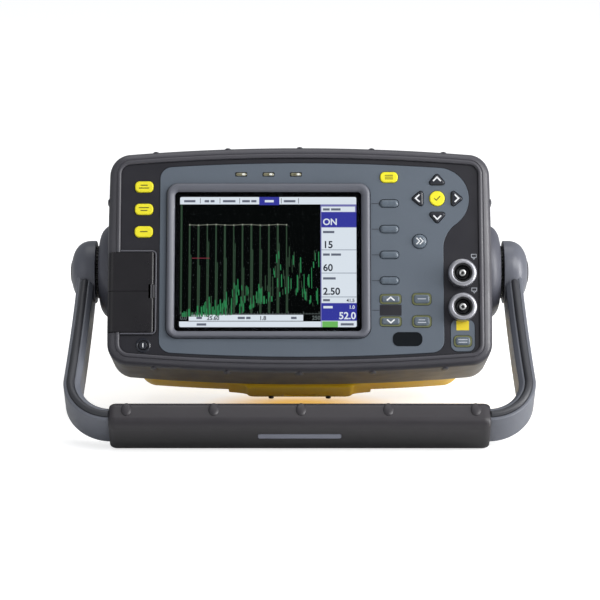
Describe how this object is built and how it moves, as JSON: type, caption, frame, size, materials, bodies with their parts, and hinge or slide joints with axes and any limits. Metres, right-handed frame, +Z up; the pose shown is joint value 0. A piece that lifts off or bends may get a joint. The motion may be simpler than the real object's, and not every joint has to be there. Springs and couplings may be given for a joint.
{
  "type": "ultrasonic flaw detector",
  "caption": "Portable ultrasonic flaw detector: rubber-ringed case with a colour screen, keypad, probe sockets, connector doors and a swinging carrying handle it leans on.",
  "frame": {"origin": "centre of the bounding box's base, on the table under the instrument", "axes": "+X to the right of someone facing the screen, -Y towards them, +Z up"},
  "size_m": [0.307, 0.1962, 0.1813],
  "materials": {
    "dark_housing": "fine texture",
    "bumper_rubber": "satin",
    "dark_overlay": "satin",
    "blue_grey_overlay": "satin",
    "bezel_grey": "satin",
    "door_rubber": "matte",
    "yellow_plastic": "satin",
    "yellow_key": "matte",
    "dark_key": "matte",
    "grey_key": "matte",
    "handle_grey": "satin",
    "grip_rubber": "satin",
    "inlay_grey": "satin",
    "socket_metal": "satin plated",
    "black_plastic": "satin",
    "gasket_rubber": "matte",
    "clear_window": "gloss",
    "display_black": "gloss",
    "board_green": "satin",
    "battery_grey": "matte",
    "steel": "satin",
    "brass": "satin"
  },
  "bodies": {
    "case": {"bumper": "bumper_rubber", "front_housing": "dark_housing", "rear_casing": "yellow_plastic", "case_gasket": "gasket_rubber", "front_overlay": "dark_overlay", "control_fascia": "blue_grey_overlay", "source_fascia": "blue_grey_overlay", "display_bezel": "bezel_grey", "display_window": "clear_window", "display_module": "display_black", "indicator_light_guide": "clear_window", "probe_socket_upper": "socket_metal", "socket_insulator_upper": "black_plastic", "socket_contact_upper": "brass", "probe_socket_lower": "socket_metal", "socket_insulator_lower": "black_plastic", "socket_contact_lower": "brass", "io_hinge_pin": "steel", "data_port": "steel", "power_inlet": "black_plastic", "keypad_board": "board_green", "main_board": "board_green", "sounder": "black_plastic", "battery_pack": "battery_grey", "battery_door": "yellow_plastic", "rear_foot_left": "grip_rubber", "rear_foot_right": "grip_rubber", "pivot_boss_left": "bezel_grey", "friction_washer_left": "black_plastic", "pivot_bolt_left": "black_plastic", "pivot_boss_right": "bezel_grey", "friction_washer_right": "black_plastic", "pivot_bolt_right": "black_plastic"},
    "handle": {"handle_frame": "handle_grey", "grip": "grip_rubber", "edge_bead_left": "grip_rubber", "edge_bead_right": "grip_rubber", "grip_inlay": "inlay_grey"},
    "io_door_upper_body": {"io_door_upper": "door_rubber"},
    "io_door_lower_body": {"io_door_lower": "door_rubber"},
    "function_key_top_body": {"function_key_top": "yellow_key"},
    "function_key_middle_body": {"function_key_middle": "yellow_key"},
    "function_key_bottom_body": {"function_key_bottom": "yellow_key"},
    "soft_key_1_body": {"soft_key_1": "grey_key"},
    "soft_key_2_body": {"soft_key_2": "grey_key"},
    "soft_key_3_body": {"soft_key_3": "grey_key"},
    "soft_key_4_body": {"soft_key_4": "grey_key"},
    "arrow_up_key_body": {"arrow_up_key": "dark_key"},
    "arrow_right_key_body": {"arrow_right_key": "dark_key"},
    "arrow_down_key_body": {"arrow_down_key": "dark_key"},
    "arrow_left_key_body": {"arrow_left_key": "dark_key"},
    "ok_key_body": {"ok_key": "yellow_key"},
    "menu_key_body": {"menu_key": "yellow_key"},
    "next_key_body": {"next_key": "grey_key"},
    "gain_up_key_body": {"gain_up_key": "dark_key"},
    "gain_down_key_body": {"gain_down_key": "dark_key"},
    "step_key_body": {"step_key": "grey_key"},
    "reference_key_body": {"reference_key": "grey_key"},
    "source_key_body": {"source_key": "grey_key"},
    "power_key_body": {"power_key": "dark_key"}
  },
  "joints": [
    {"name": "handle_swing", "type": "hinge", "parent": "case", "child": "handle", "pos_m": [0, 0.01765, 0.09322], "axis": [1, 0, 0], "range_deg": [-215, 60]},
    {"name": "io_door_upper_hinge", "type": "hinge", "parent": "case", "child": "io_door_upper_body", "pos_m": [-0.0962, -0.03506, 0.10554], "axis": [0, 0.4035, 0.915], "range_deg": [0, 100]},
    {"name": "io_door_lower_hinge", "type": "hinge", "parent": "case", "child": "io_door_lower_body", "pos_m": [-0.0962, -0.04555, 0.08175], "axis": [0, 0.4035, 0.915], "range_deg": [0, 100]},
    {"name": "function_key_top_press", "type": "slide", "parent": "case", "child": "function_key_top_body", "axis": [0, 0.915, -0.4035], "range_m": [0, 0.001], "stiffness_N_per_m": 400, "springref_m": -0.001},
    {"name": "function_key_middle_press", "type": "slide", "parent": "case", "child": "function_key_middle_body", "axis": [0, 0.915, -0.4035], "range_m": [0, 0.001], "stiffness_N_per_m": 400, "springref_m": -0.001},
    {"name": "function_key_bottom_press", "type": "slide", "parent": "case", "child": "function_key_bottom_body", "axis": [0, 0.915, -0.4035], "range_m": [0, 0.001], "stiffness_N_per_m": 400, "springref_m": -0.001},
    {"name": "soft_key_1_press", "type": "slide", "parent": "case", "child": "soft_key_1_body", "axis": [0, 0.915, -0.4035], "range_m": [0, 0.001], "stiffness_N_per_m": 400, "springref_m": -0.001},
    {"name": "soft_key_2_press", "type": "slide", "parent": "case", "child": "soft_key_2_body", "axis": [0, 0.915, -0.4035], "range_m": [0, 0.001], "stiffness_N_per_m": 400, "springref_m": -0.001},
    {"name": "soft_key_3_press", "type": "slide", "parent": "case", "child": "soft_key_3_body", "axis": [0, 0.915, -0.4035], "range_m": [0, 0.001], "stiffness_N_per_m": 400, "springref_m": -0.001},
    {"name": "soft_key_4_press", "type": "slide", "parent": "case", "child": "soft_key_4_body", "axis": [0, 0.915, -0.4035], "range_m": [0, 0.001], "stiffness_N_per_m": 400, "springref_m": -0.001},
    {"name": "arrow_up_key_press", "type": "slide", "parent": "case", "child": "arrow_up_key_body", "axis": [0, 0.915, -0.4035], "range_m": [0, 0.001], "stiffness_N_per_m": 400, "springref_m": -0.001},
    {"name": "arrow_right_key_press", "type": "slide", "parent": "case", "child": "arrow_right_key_body", "axis": [0, 0.915, -0.4035], "range_m": [0, 0.001], "stiffness_N_per_m": 400, "springref_m": -0.001},
    {"name": "arrow_down_key_press", "type": "slide", "parent": "case", "child": "arrow_down_key_body", "axis": [0, 0.915, -0.4035], "range_m": [0, 0.001], "stiffness_N_per_m": 400, "springref_m": -0.001},
    {"name": "arrow_left_key_press", "type": "slide", "parent": "case", "child": "arrow_left_key_body", "axis": [0, 0.915, -0.4035], "range_m": [0, 0.001], "stiffness_N_per_m": 400, "springref_m": -0.001},
    {"name": "ok_key_press", "type": "slide", "parent": "case", "child": "ok_key_body", "axis": [0, 0.915, -0.4035], "range_m": [0, 0.001], "stiffness_N_per_m": 400, "springref_m": -0.001},
    {"name": "menu_key_press", "type": "slide", "parent": "case", "child": "menu_key_body", "axis": [0, 0.915, -0.4035], "range_m": [0, 0.001], "stiffness_N_per_m": 400, "springref_m": -0.001},
    {"name": "next_key_press", "type": "slide", "parent": "case", "child": "next_key_body", "axis": [0, 0.915, -0.4035], "range_m": [0, 0.001], "stiffness_N_per_m": 400, "springref_m": -0.001},
    {"name": "gain_up_key_press", "type": "slide", "parent": "case", "child": "gain_up_key_body", "axis": [0, 0.915, -0.4035], "range_m": [0, 0.001], "stiffness_N_per_m": 400, "springref_m": -0.001},
    {"name": "gain_down_key_press", "type": "slide", "parent": "case", "child": "gain_down_key_body", "axis": [0, 0.915, -0.4035], "range_m": [0, 0.001], "stiffness_N_per_m": 400, "springref_m": -0.001},
    {"name": "step_key_press", "type": "slide", "parent": "case", "child": "step_key_body", "axis": [0, 0.915, -0.4035], "range_m": [0, 0.001], "stiffness_N_per_m": 400, "springref_m": -0.001},
    {"name": "reference_key_press", "type": "slide", "parent": "case", "child": "reference_key_body", "axis": [0, 0.915, -0.4035], "range_m": [0, 0.001], "stiffness_N_per_m": 400, "springref_m": -0.001},
    {"name": "source_key_press", "type": "slide", "parent": "case", "child": "source_key_body", "axis": [0, 0.915, -0.4035], "range_m": [0, 0.001], "stiffness_N_per_m": 400, "springref_m": -0.001},
    {"name": "power_key_press", "type": "slide", "parent": "case", "child": "power_key_body", "axis": [0, 0.915, -0.4035], "range_m": [0, 0.001], "stiffness_N_per_m": 400, "springref_m": -0.001}
  ]
}
